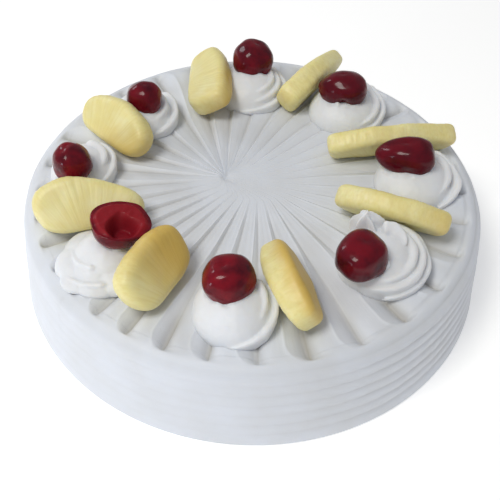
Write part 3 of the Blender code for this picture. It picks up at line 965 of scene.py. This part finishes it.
@dataclass(frozen=True)
class Cherry:
    """A cherry pressed into its rosette: its middle, half sizes, turn and tilt in degrees.

    The point narrows its -X end, the notch dents its underside and the darkening share darkens its whole
    skin, partly its own deeper red and partly painted shade.
    """

    number: int
    x: float
    y: float
    lift: float
    half_width: float
    half_depth: float
    half_height: float
    turn: float
    tilt: float
    point: float = 0.0
    notch: float = 0.0
    halved: bool = False
    squareness: float = 2.3
    darker_tone_and_shade_share: float = 0.0
    dent: float = 0.08
    dent_scale: float = 1.3
    pucker: float = 0.0096
    pucker_scale: float = 4.0
    notch_place: float = 0.15
    notch_width: float = 0.22
    stem_dimple: float = 0.08
    stem_reach: float = 0.50
    cut_radius: float = 0.94
    cut_rise: float = 0.07
    cut_crown: float = 0.13
    cut_rounding: float = 0.10
    cut_rounding_start: float = 0.80
    cut_unevenness: float = 0.03
    skin_edge: float = 0.88
    pit_radius: float = 0.64
    pit_floor: float = 0.45
    pit_depth: float = 0.64
    painted_pit_shade: float = 0.95
    pit_shift: Pair = (0.03, -0.33)
    pit_unevenness: float = 0.30
    collar: float = 0.22
    press_share: float = 0.985
    subdivisions: int = 6

    @property
    def seed(self) -> float:
        """Return the number that picks this cherry's unevenness."""
        return self.number * 3.7

    @property
    def half_sizes(self) -> Vector:
        """Return half the cherry's width, depth and height."""
        return Vector((self.half_width, self.half_depth, self.half_height))

    def place(self, top: float) -> Matrix:
        """Turn, tilt and place the cherry.

        Args:
            top: The height of the cake's top.

        Returns:
            The matrix from the cherry's own axes to the frame's.
        """
        turn = Matrix.Rotation(math.radians(self.turn), 4, "Z")
        tilt = Matrix.Rotation(math.radians(self.tilt), 4, "Y")
        return Matrix.Translation((self.x, self.y, top + self.lift)) @ turn @ tilt

    def skin_point(self, direction: Vector) -> Vector:
        """Shape the skin of a cherry of half size 1.

        Args:
            direction: A direction from the cherry's middle.

        Returns:
            The skin's point in that direction.
        """
        grown = sum(abs(part) ** self.squareness for part in direction) ** (-1 / self.squareness)
        grown *= 1 + self.dent * noise.noise(direction * self.dent_scale + Vector((self.seed, 0, 0)))
        grown += self.pucker * noise.noise(direction * self.pucker_scale + Vector((0, self.seed, 0)))
        around = math.hypot(direction.x, direction.y)
        if direction.z > 0:
            grown -= self.stem_dimple * max(0.0, 1 - around / self.stem_reach) ** 2
        from_notch = (direction.x - self.notch_place) / self.notch_width
        grown -= self.notch * bell(from_notch) * ease(0.4 - direction.z * 2)
        place = direction * grown
        slimness = 1 - self.point * ((1 - clamp(place.x, -1.0, 1.0)) / 2) ** 1.5
        return Vector((place.x, place.y * slimness, place.z * slimness))

    def cut_point(self, direction: Vector) -> tuple[Vector, float]:
        """Shape the skin and the cut face of a halved cherry of half size 1.

        Args:
            direction: A direction from the cherry's middle.

        Returns:
            The point in that direction, and how much flesh colour it shows, from 0 to 1, less in the pit
            as painted shade.
        """
        if direction.z < self.cut_rise:
            return self.skin_point(direction), 0.0
        away = math.acos(clamp(direction.z, -1.0, 1.0)) / math.acos(self.cut_rise)
        around = Vector((direction.x, direction.y, 0.0))
        if around.length > 0:
            around.normalize()
        edge = self.skin_point(Vector((around.x, around.y, self.cut_rise)).normalized())
        edge.z = 0.0
        place = edge * (self.cut_radius * away)
        from_middle = place - Vector((*self.pit_shift, 0.0))
        uneven = noise.noise(from_middle * 2.0 + Vector((0, 0, self.seed + 5)))
        from_pit = from_middle.length * (1 + self.pit_unevenness * uneven) / self.pit_radius
        pit = self.pit_depth * (1 - ease(between(from_pit, self.pit_floor, 1.0)))
        rounded = self.cut_rounding * ease(between(away, self.cut_rounding_start, 1.0))
        height = self.cut_crown - pit - rounded
        height += self.cut_unevenness * noise.noise(Vector((direction.x * 4, direction.y * 4, self.seed)))
        bare = 1 - ease(between(away, self.skin_edge, 1.0))
        # Painted shade: the pit shows less flesh colour and more of the darker skin colour
        return place + UP * height, bare * (1 - self.painted_pit_shade * pit)

    def build(self, top: float, finish: bpy.types.Material) -> bpy.types.Object:
        """Shape a ball into the cherry.

        Args:
            top: The height of the cake's top.
            finish: The cherry's material.

        Returns:
            The dressed cherry.
        """
        bm = bmesh.new()
        bmesh.ops.create_icosphere(bm, subdivisions=self.subdivisions, radius=1.0)
        flesh_layer = bm.verts.layers.float.new("flesh")
        darker_tone_and_shade_layer = bm.verts.layers.float.new("darker_tone_and_shade")
        for vert in bm.verts:
            direction = vert.co.normalized()
            # The whole skin's darkening share: own deeper red and painted shade
            vert[darker_tone_and_shade_layer] = self.darker_tone_and_shade_share
            if self.halved:
                vert.co, vert[flesh_layer] = self.cut_point(direction)
            else:
                vert.co = self.skin_point(direction)
        bmesh.ops.scale(bm, verts=bm.verts, vec=self.half_sizes)
        bmesh.ops.transform(bm, verts=bm.verts, matrix=self.place(top))
        name = f"cherry_fruit_{self.number}"
        return finished_piece(name, bm, f"cherry_{self.number}", finish)

    def in_half_sizes(self, place: Vector, top: float) -> Vector:
        """Return a place seen from the cherry's middle, in half sizes of the cherry."""
        local = self.place(top).inverted() @ place
        return Vector((local.x / self.half_width, local.y / self.half_depth, local.z / self.half_height))

    def nearness(self, place: Vector, top: float) -> float:
        """Return 1 at the cherry's skin, which falls to 0 a little way outside it."""
        return 1 - ease((self.in_half_sizes(place, top).length - 1.0) / self.collar)

    def press(self, place: Vector, top: float) -> Vector:
        """Press the cherry into the cream.

        Args:
            place: Where a point of the cream is.
            top: The height of the cake's top.

        Returns:
            Where the point goes.
        """
        unit = self.in_half_sizes(place, top)
        if unit.length < MERGE_DISTANCE:
            return place
        skin = self.skin_point(unit.normalized()) * self.press_share
        if unit.length >= skin.length:
            return place
        return self.place(top) @ (skin * self.half_sizes)


@dataclass(frozen=True)
class Fold:
    """One sharp ridge of a rosette, wound clockwise from behind the cherry round its right side.

    The angles are in degrees. The reaches are shares of the rosette's radius and the lifts are
    shares of its height.
    """

    start: float
    end: float
    start_reach: float
    end_reach: float
    start_lift: float
    end_lift: float
    size: float = 0.0031

    STEPS = 120
    POINTS = 48
    CREST_TURN = math.radians(58)
    CREST_SHARPNESS = 7
    CREST_SHARE = 0.62
    ROPE_SHARE = 0.92
    FOOT_DEPTH = 2.4
    START_TAPER = 0.14
    END_TAPER = 0.40
    WAVES = 5
    WAVINESS = 0.03

    def add(self, bm: bmesh.types.BMesh, radius: float, height: float, seed: float) -> None:
        """Roll a grid up into the ridge: its X becomes the length and its Y the way round.

        Args:
            bm: The bmesh that takes the ridge.
            radius: The rosette's radius.
            height: The rosette's height.
            seed: A number that picks the ridge's unevenness.
        """
        rope = bmesh.ops.create_grid(bm, x_segments=self.STEPS, y_segments=self.POINTS, size=0.5)
        for vert in rope["verts"]:
            share = clamp(vert.co.x + 0.5)
            around = FULL_TURN * (vert.co.y + 0.5)
            angle = math.radians(self.start + (self.end - self.start) * share)
            wave = self.WAVINESS * noise.noise(Vector((share * self.WAVES, seed, 0)))
            reach = radius * (self.start_reach + (self.end_reach - self.start_reach) * share + wave)
            lift = height * (self.start_lift + (self.end_lift - self.start_lift) * share + wave)
            thick = self.size * math.sqrt(clamp(share / self.START_TAPER))
            thick *= clamp((1 - share) / self.END_TAPER) ** 0.7
            crest = max(0.0, math.cos(around - self.CREST_TURN)) ** self.CREST_SHARPNESS
            across = thick * (self.ROPE_SHARE + self.CREST_SHARE * crest)
            rise = math.sin(around) * across
            if rise < 0:
                rise *= self.FOOT_DEPTH
            vert.co = level_direction(angle) * (reach + math.cos(around) * across)
            vert.co.z = lift - self.size + rise


@dataclass(frozen=True)
class Bead:
    """A small peak of cream squeezed up at a cherry: its angle round the cherry, lift and size."""

    angle: float
    lift: float
    size: float = 0.0014

    UPRIGHTNESS = 1.5

    def add(self, bm: bmesh.types.BMesh, cherry: Cherry) -> None:
        """Add the bead against the cherry's side.

        Args:
            bm: The bmesh that takes the bead, with the cake's top at height 0.
            cherry: The cherry that squeezed the cream up.
        """
        level = clamp(abs(self.lift - cherry.lift) / cherry.half_height, 0.0, 0.95)
        away = level_direction(math.radians(self.angle)) * cherry.half_sizes
        place = Vector((cherry.x, cherry.y, self.lift)) + away * math.sqrt(1 - level * level)
        add_ball(bm, (16, 10), (self.size, self.size, self.size * self.UPRIGHTNESS), place)


@dataclass(frozen=True)
class Ruffle:
    """The torn, pleated peak that stands up where the tip was pulled away."""

    foot: Triple = (-0.0045, 0.0102, 0.005)
    top: Triple = (-0.0015, 0.0010, 0.0142)
    reach: float = 0.0092
    flatness: float = 0.6
    foot_share: float = 0.72
    flare: float = 0.4
    foot_taper: float = 0.06
    waves: int = 3
    twist: float = 0.8
    pleat_depth: float = 0.62
    raggedness: float = 0.0022

    def add(self, bm: bmesh.types.BMesh) -> None:
        """Roll a grid up into the peak: its X becomes the height and its Y the way round.

        Args:
            bm: The bmesh that takes the peak, with the rosette's middle at the origin.
        """
        peak = bmesh.ops.create_grid(bm, x_segments=40, y_segments=72, size=0.5)
        for vert in peak["verts"]:
            share = clamp(vert.co.x + 0.5)
            around = FULL_TURN * (vert.co.y + 0.5)
            reach = self.reach * (1 - share ** 6) * (self.foot_share + self.flare * share)
            reach *= math.sqrt(clamp(share / self.foot_taper))
            reach *= 1 - self.pleat_depth * abs(math.sin(self.waves * around + self.twist * share))
            ragged = self.raggedness * math.sin(self.waves * around + 1.0) * share ** 2
            outward = level_direction(around) * reach
            outward.y *= self.flatness
            vert.co = Vector(self.foot) + Vector(self.top) * share + UP * ragged + outward


@dataclass(frozen=True)
class Rosette:
    """A mound of piped cream, smooth where the rope was laid over, with sharp folds at its side.

    Each swelling of the mound is an angle in degrees, and a reach, a width and a height as shares.
    """

    number: int
    x: float
    y: float
    radius: float
    height: float
    folds: tuple[Fold, ...] = ()
    beads: tuple[Bead, ...] = ()
    swellings: tuple[Quad, ...] = ()
    mound_reach: float = 0.88
    mound_rise: float = 0.80
    ruffle: Ruffle | None = None
    swells: tuple[Triple, ...] = ((0.00042, 110.0, 0.0), (0.00012, 420.0, 0.0))
    squeezed: tuple[Triple, ...] = ((0.0009, 260.0, 4.0),)
    voxel: float = 0.00042
    smoothing: int = 2

    def add_mound(self, bm: bmesh.types.BMesh) -> None:
        """Add the smooth mound and its swellings.

        Args:
            bm: The bmesh that takes them, with the rosette's middle at the origin.
        """
        reach = self.radius * self.mound_reach
        add_ball(bm, (48, 24), (reach, reach, self.height * self.mound_rise))
        for turn, out, size, rise in self.swellings:
            width = self.radius * size
            away = level_direction(math.radians(turn)) * (self.radius * out)
            add_ball(bm, (32, 16), (width, width, self.height * rise), away)

    def build(self, top: float, cherry: Cherry, finish: bpy.types.Material) -> bpy.types.Object:
        """Pipe the rosette around its cherry and return it, dressed.

        Args:
            top: The height of the cake's top.
            cherry: The cherry that is pressed into the rosette.
            finish: The cream's material.

        Returns:
            The new piece.
        """
        bm = bmesh.new()
        self.add_mound(bm)
        for step, fold in enumerate(self.folds):
            fold.add(bm, self.radius, self.height, self.number * 3.1 + step)
        if self.ruffle:
            self.ruffle.add(bm)
        bmesh.ops.translate(bm, verts=bm.verts, vec=(self.x, self.y, 0.0))
        for bead in self.beads:
            bead.add(bm, cherry)
        bmesh.ops.translate(bm, verts=bm.verts, vec=(0.0, 0.0, top))
        skin = one_skin(bm, self.voxel, self.smoothing)
        seed = self.number * 1.3
        for vert in skin.verts:
            rise = swell(vert.co, self.swells, seed)
            rise += cherry.nearness(vert.co, top) * swell(vert.co, self.squeezed, seed)
            vert.co = cherry.press(vert.co + vert.normal * rise, top)
        name = f"piped_rosette_{self.number}"
        return finished_piece(name, skin, f"rosette_{self.number}", finish)


@dataclass(frozen=True)
class PineappleSlab:
    """A segment of a pineapple slice on its edge: its foot's middle, heading, lean and size.

    The angles are in degrees. The golden direction, in half sizes, points to the side painted golden,
    partly the fruit's own gold and partly painted shade.
    """

    number: int
    x: float
    y: float
    heading: float
    lean: float
    length: float
    height: float
    thickness: float
    taper: float = 0.0
    thinning: float = 0.0
    belly: float = 0.0
    darker_tone_and_shade: Triple = (0.0, 0.0, 0.0)
    tone_and_shade_start: float = 0.0
    tone_and_shade_slope: float = 0.6
    tone_and_shade_patches: float = 0.25
    tone_and_shade_patches_per_metre: float = 90.0
    arch: float = 52.0
    foot_share: float = 0.88
    foot_hollow: float = -0.0008
    sink: float = 0.0015
    corner_smoothing: int = 40
    edge_round: float = 0.0036
    outline_points: int = 120
    slice_hole: float = 0.016
    grain: Triple = (34.0, 420.0, 500.0)
    fibre_relief: float = 0.00006
    fibre_stretch: Triple = (1.0, 0.12, 0.7)
    rind_relief: float = 0.00016
    rind_stretch: Triple = (0.5, 0.0, 0.3)
    rind_shares: Pair = (0.35, 0.75)
    bulge: float = 0.0006
    bulges_per_metre: float = 95.0
    inset: float = 0.0002
    voxel: float = 0.00050
    smoothing: int = 10

    RIND_END = 0.50
    FOOT_START = 0.58
    FOOT_END = 0.92

    def place(self, top: float) -> Matrix:
        """Turn, lean and place the slab.

        Args:
            top: The height of the cake's top.

        Returns:
            Its matrix: X along it, Y up its broad side and Z through its thickness.
        """
        lean = math.radians(self.lean)
        along = level_direction(math.radians(self.heading))
        up_the_side = UP * math.cos(lean) + along.cross(UP) * math.sin(lean)
        matrix = Matrix((along, up_the_side, along.cross(up_the_side))).transposed().to_4x4()
        foot = top - self.sink + self.thickness / 2 * math.sin(lean)
        matrix.translation = Vector((self.x, self.y, foot))
        return matrix

    def outline_point(self, share: float) -> Vector:
        """Trace the broad side's outline.

        Args:
            share: How far round the point lies, from the right end over the rind side, from 0 to 1.

        Returns:
            The point.
        """
        half = self.length / 2
        foot = half * self.foot_share
        arch = math.radians(self.arch)
        shoulder = self.height * math.cos(arch)
        if share < self.RIND_END:
            across = 1 - 2 * share / self.RIND_END
            rise = self.height * math.cos(arch * across) * (1 + self.taper * across)
            return Vector((half * across, rise, 0.0))
        if share < self.FOOT_START:
            part = between(share, self.RIND_END, self.FOOT_START)
            return Vector((-half + (half - foot) * part, shoulder * (1 - self.taper) * (1 - part), 0.0))
        if share < self.FOOT_END:
            across = 2 * between(share, self.FOOT_START, self.FOOT_END) - 1
            return Vector((foot * across, self.foot_hollow * (1 - across * across), 0.0))
        part = between(share, self.FOOT_END, 1.0)
        return Vector((foot + (half - foot) * part, shoulder * (1 + self.taper) * part, 0.0))

    def add_block(self, bm: bmesh.types.BMesh) -> None:
        """Extrude the rounded outline to the slab's thickness and round its edges.

        Args:
            bm: The bmesh that takes the block.
        """
        ring = bmesh.ops.create_circle(bm, cap_ends=True, segments=self.outline_points, radius=1.0)
        for step, vert in enumerate(ring["verts"]):
            vert.co = self.outline_point(step / self.outline_points) - UP * (self.thickness / 2)
        smooth(bm, self.corner_smoothing, upright=False)
        grown = bmesh.ops.extrude_face_region(bm, geom=bm.faces[:])
        moved = [item for item in grown["geom"] if isinstance(item, bmesh.types.BMVert)]
        bmesh.ops.translate(bm, verts=moved, vec=(0, 0, self.thickness))
        bmesh.ops.recalc_face_normals(bm, faces=bm.faces)
        broad = [item for item in bm.faces if len(item.verts) == self.outline_points]
        rim = {edge for item in broad for edge in item.edges}
        bmesh.ops.bevel(
            bm, geom=list(rim), offset=self.edge_round, offset_type="OFFSET", segments=4,
            profile=0.5, affect="EDGES", material=-1, clamp_overlap=True,
        )

    def fibre_place(self, local: Vector) -> Vector:
        """Find a place in the fruit's own grain.

        Args:
            local: The place in the slab's own axes.

        Returns:
            How far it lies round the slice, out from its hole and deep in it, in fibres.
        """
        out = math.hypot(local.x, local.y + self.slice_hole)
        around = math.atan2(local.x, local.y + self.slice_hole)
        return Vector((around, out, local.z)) * Vector(self.grain) + Vector((self.number * 9.0, 0, 0))

    def darker_tone_and_shade_share(self, local: Vector) -> float:
        """Find how golden the fruit is painted, partly for its own gold and partly as painted shade.

        Args:
            local: The place in the slab's own axes.

        Returns:
            The share of gold there, from 0 to 1.
        """
        if not any(self.darker_tone_and_shade):
            return 0.0
        size = (self.length, self.height, self.thickness)
        shares = [2 * part / full for part, full in zip(local, size)]
        shares[1] -= 1
        reach = 0.5 - self.tone_and_shade_start + self.tone_and_shade_slope * Vector(shares).dot(Vector(self.darker_tone_and_shade))
        return ease(reach + self.tone_and_shade_patches * lumps(local, self.tone_and_shade_patches_per_metre, self.number))

    def build(self, top: float, finish: bpy.types.Material) -> bpy.types.Object:
        """Cut the slab and give it its fibres.

        Args:
            top: The height of the cake's top.
            finish: The pineapple's material.

        Returns:
            The dressed slab.
        """
        bm = bmesh.new()
        self.add_block(bm)
        skin = one_skin(bm, self.voxel, self.smoothing)
        fibre_layer = skin.verts.layers.float_vector.new("fibre")
        darker_tone_and_shade_layer = skin.verts.layers.float.new("darker_tone_and_shade")
        for vert in skin.verts:
            # Golden share: the fruit's own gold and painted shade on the faces turned from the light
            vert[darker_tone_and_shade_layer] = self.darker_tone_and_shade_share(vert.co)
            across = 2 * vert.co.x / self.length
            vert.co.z *= 1 + self.thinning * across - self.belly * across * across
            grain = self.fibre_place(vert.co)
            vert[fibre_layer] = grain
            relief = self.fibre_relief * noise.noise(grain * Vector(self.fibre_stretch))
            relief += self.bulge * lumps(vert.co, self.bulges_per_metre, self.number * 2.1)
            rind = self.rind_relief * ease(between(vert.co.y / self.height, *self.rind_shares))
            relief += rind * noise.noise(grain * Vector(self.rind_stretch))
            vert.co += vert.normal * (relief - self.inset)
        bmesh.ops.transform(skin, verts=skin.verts, matrix=self.place(top))
        name = f"pineapple_slab_{self.number}"
        return finished_piece(name, skin, f"pineapple_{self.number}", finish)


ROSETTES = (
    Rosette(1, -0.004, 0.070, 0.0198, 0.0160, (
        Fold(85, -125, 0.46, 0.56, 0.76, 0.50), Fold(75, -118, 0.66, 0.74, 0.58, 0.34, 0.0028),
        Fold(70, -105, 0.86, 0.90, 0.38, 0.18, 0.0024),
    ), (Bead(235, 0.0105, 0.0020), Bead(300, 0.0090, 0.0012))),
    Rosette(2, -0.057, 0.044, 0.0180, 0.0158, (
        Fold(80, -85, 0.54, 0.62, 0.70, 0.46), Fold(70, -80, 0.86, 0.90, 0.42, 0.24, 0.0028),
    )),
    Rosette(3, -0.079, 0.003, 0.0172, 0.0150, (
        Fold(90, -60, 0.46, 0.56, 0.76, 0.54), Fold(80, -60, 0.72, 0.80, 0.52, 0.34, 0.0026),
    )),
    Rosette(4, -0.060, -0.050, 0.0205, 0.0160, (
        Fold(262, 150, 0.46, 0.66, 0.46, 0.22, 0.0022), Fold(285, 190, 0.74, 0.88, 0.26, 0.08, 0.0020),
    ), (
        Bead(262, 0.0090, 0.0019), Bead(310, 0.0090, 0.0020),
    ), (
        (200, 0.46, 0.58, 0.32), (262, 0.48, 0.54, 0.27), (150, 0.40, 0.56, 0.36),
        (300, 0.40, 0.60, 0.35), (235, 0.26, 0.60, 0.44), (228, 0.74, 0.36, 0.18),
    ), mound_reach=0.70, mound_rise=0.62),
    Rosette(5, -0.0060, -0.0755, 0.0192, 0.0168, (
        Fold(50, -90, 0.44, 0.66, 0.76, 0.34, 0.0032), Fold(42, -100, 0.70, 0.88, 0.54, 0.14, 0.0030),
    ), (Bead(262, 0.0085, 0.0014),)),
    Rosette(6, 0.053, -0.048, 0.0202, 0.0168, (
        Fold(110, -135, 0.44, 0.72, 0.78, 0.46, 0.0034), Fold(100, -130, 0.70, 0.84, 0.58, 0.32, 0.0029),
        Fold(95, -95, 0.93, 0.93, 0.38, 0.16, 0.0024), Fold(88, 2, 0.34, 0.48, 1.02, 0.86, 0.0025),
    ), (Bead(52, 0.0138, 0.0026), Bead(22, 0.0128, 0.0022), Bead(352, 0.0118, 0.0018)), ruffle=Ruffle()),
    Rosette(7, 0.0735, 0.002, 0.0200, 0.0162, (
        Fold(75, -75, 0.62, 0.72, 0.66, 0.40), Fold(70, -65, 0.92, 0.94, 0.44, 0.20, 0.0027),
    ), (Bead(262, 0.0088, 0.0014),)),
    Rosette(8, 0.045, 0.055, 0.0204, 0.0160, (
        Fold(65, -85, 0.62, 0.80, 0.66, 0.32), Fold(60, -70, 0.86, 0.93, 0.44, 0.18, 0.0027),
    ), (Bead(255, 0.0095, 0.0018), Bead(320, 0.0080, 0.0012))),
)

CHERRIES = (
    Cherry(1, -0.0022, 0.0778, 0.0148, 0.0101, 0.0104, 0.0097, 20, 14, notch=0.14, darker_tone_and_shade_share=0.30),
    Cherry(2, -0.0549, 0.0434, 0.0140, 0.0086, 0.0084, 0.0086, 350, 6, point=0.22, darker_tone_and_shade_share=0.30),
    Cherry(3, -0.0806, -0.0062, 0.0142, 0.0083, 0.0082, 0.0090, 140, 12),
    Cherry(4, -0.0535, -0.0434, 0.0162, 0.0120, 0.0113, 0.0100, 15, 8, halved=True),
    Cherry(5, -0.0082, -0.0709, 0.0148, 0.0105, 0.0102, 0.0094, 190, 14, point=0.14),
    Cherry(6, 0.0433, -0.0566, 0.0140, 0.0106, 0.0101, 0.0092, 50, 10, point=0.18, squareness=2.7,
           darker_tone_and_shade_share=0.30),
    Cherry(7, 0.0682, 0.0044, 0.0145, 0.0131, 0.0098, 0.0098, 350, -4, point=0.36, notch=0.14,
           darker_tone_and_shade_share=0.55),
    Cherry(8, 0.0432, 0.0550, 0.0145, 0.0122, 0.0098, 0.0091, 346, -6, point=0.16, notch=0.20,
           darker_tone_and_shade_share=0.60),
)

SLABS = (
    PineappleSlab(
        1, -0.0332, 0.0666, 92, 58, 0.0515, 0.0225, 0.0118, taper=-0.14, arch=36.0,
        edge_round=0.0042, darker_tone_and_shade=(-0.4, 0.7, 0.5), tone_and_shade_start=0.40,
    ),
    PineappleSlab(
        2, -0.0702, 0.0228, 138, 42, 0.0472, 0.0218, 0.0110, edge_round=0.0042,
        darker_tone_and_shade=(-0.7, -0.6, 0.0), tone_and_shade_start=0.42,
    ),
    PineappleSlab(
        3, -0.0683, -0.0350, 194, 48, 0.0512, 0.0228, 0.0110, taper=0.26, corner_smoothing=50,
        edge_round=0.0042,
    ),
    PineappleSlab(
        4, -0.0322, -0.0658, -116, 40, 0.0420, 0.0236, 0.0115, corner_smoothing=50, arch=40.0,
        edge_round=0.0048, darker_tone_and_shade=(-1.0, 0.1, 0.0), tone_and_shade_start=-0.08,
    ),
    PineappleSlab(
        5, 0.0196, -0.0660, -71, 30, 0.0428, 0.0206, 0.0140, belly=0.28, corner_smoothing=14,
        darker_tone_and_shade=(0.0, 0.0, -1.3), tone_and_shade_start=0.22,
    ),
    PineappleSlab(
        6, 0.0620, -0.0194, -20, 37, 0.0530, 0.0220, 0.0108, corner_smoothing=16,
        darker_tone_and_shade=(0.9, 0.2, 0.0), tone_and_shade_start=0.65,
    ),
    PineappleSlab(
        7, 0.0636, 0.0275, 10, 32, 0.0645, 0.0205, 0.0102, corner_smoothing=8,
        darker_tone_and_shade=(0.9, -0.3, 0.0), tone_and_shade_start=0.70,
    ),
    PineappleSlab(
        8, 0.0253, 0.0735, 54, 26, 0.0510, 0.0210, 0.0113, thinning=-0.18, corner_smoothing=14,
        darker_tone_and_shade=(-0.9, -0.4, 0.0), tone_and_shade_start=0.85,
    ),
)


@dataclass(frozen=True)
class SoftBox:
    """A square soft light: where it stands, what it looks at, its width and power."""

    name: str
    place: Triple
    target: Triple
    width: float
    power: float
    colour: Triple = (1.0, 1.0, 1.0)

    def build(self) -> bpy.types.Object:
        """Aim the light.

        Returns:
            The light.
        """
        lamp = bpy.data.lights.new(self.name, "AREA")
        lamp.size = self.width
        lamp.energy = self.power
        lamp.color = self.colour
        light = new_object(self.name, lamp)
        aim = (Vector(self.target) - Vector(self.place)).to_track_quat("-Z", "Y")
        light.matrix_world = Matrix.Translation(self.place) @ aim.to_matrix().to_4x4()
        return light


@dataclass(frozen=True)
class Studio:
    """The pale floor, the soft light and the camera."""

    camera_distance: float = 0.3686
    camera_dip: float = math.radians(47.593)
    camera_roll: float = math.radians(1.779)
    lens: float = 52.31
    sensor: float = 36.0
    shift: Pair = (-0.00324, -0.00792)
    clip_start: float = 0.01
    sky: float = 0.366
    sky_colour: Triple = (0.972, 0.986, 1.018)
    floor_size: float = 3.0
    floor_gap: float = 0.0002

    LIGHTS = (
        SoftBox("low_window", (-0.94, -0.62, 0.14), (0.0, 0.0, 0.03), 0.20, 1.4, (0.90, 0.97, 1.12)),
        SoftBox("back_window", (-0.72, 0.62, 0.56), (0.0, 0.0, 0.03), 0.22, 1.1, (0.96, 0.98, 1.04)),
        SoftBox("soft_top", (-0.46, -0.36, 1.08), (0.0, 0.0, 0.02), 0.42, 7.0, (1.0, 0.988, 0.93)),
    )

    def build_camera(self) -> bpy.types.Object:
        """Set up the camera, which looks down at the middle of the cake's underside.

        Returns:
            The camera.
        """
        forward = Vector((0, math.cos(self.camera_dip), -math.sin(self.camera_dip)))
        right = Vector((1, 0, 0))
        up = right.cross(forward)
        data = bpy.data.cameras.new("camera")
        data.sensor_width = self.sensor
        data.lens = self.lens
        data.shift_x, data.shift_y = self.shift
        data.clip_start = self.clip_start
        camera = new_object("camera", data)
        level = Matrix((right, up, -forward)).transposed()
        matrix = (level @ Matrix.Rotation(self.camera_roll, 3, "Z")).to_4x4()
        matrix.translation = -forward * self.camera_distance
        camera.matrix_world = matrix
        bpy.context.scene.camera = camera
        return camera

    def build_floor(self) -> bpy.types.Object:
        """Lay the floor, which is part of the stage.

        Returns:
            The floor.
        """
        bm = bmesh.new()
        bmesh.ops.create_grid(bm, x_segments=1, y_segments=1, size=self.floor_size / 2)
        bmesh.ops.translate(bm, verts=bm.verts, vec=(0, 0, -self.floor_gap))
        floor = mesh_object("floor", bm)
        floor.data.materials.append(FloorFinish().material())
        return floor

    def build(self) -> None:
        """Set up the floor, the sky, the lights and the camera."""
        scene = bpy.context.scene
        world = bpy.data.worlds.new("studio")
        world.use_nodes = True
        background = world.node_tree.nodes["Background"]
        background.inputs["Color"].default_value = (*self.sky_colour, 1.0)
        background.inputs["Strength"].default_value = self.sky
        scene.world = world
        scene.view_settings.view_transform = "Standard"
        self.build_floor()
        for light in self.LIGHTS:
            light.build()
        self.build_camera()


def main() -> None:
    """Build every piece around the frame and log each piece's face count."""
    logging.basicConfig(level=logging.INFO, format="%(message)s")
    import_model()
    low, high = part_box("cake")
    top = high.z
    Studio().build()
    scraped = CreamFinish(CreamTool.SCRAPER).material()
    piped = CreamFinish(CreamTool.PIPING_TIP).material()
    cherry_skin = CherryFinish().material()
    pineapple_flesh = PineappleFinish().material()
    pieces = [CakeBody(base_radius=(high.x - low.x) / 2, top_height=top).build(scraped)]
    pieces += [cherry.build(top, cherry_skin) for cherry in CHERRIES]
    pieces += [slab.build(top, pineapple_flesh) for slab in SLABS]
    pieces += [rosette.build(top, cherry, piped) for rosette, cherry in zip(ROSETTES, CHERRIES)]
    for piece in pieces:
        log.info("%s: %d faces", piece.name, len(piece.data.polygons))


if __name__ == "__main__":
    main()
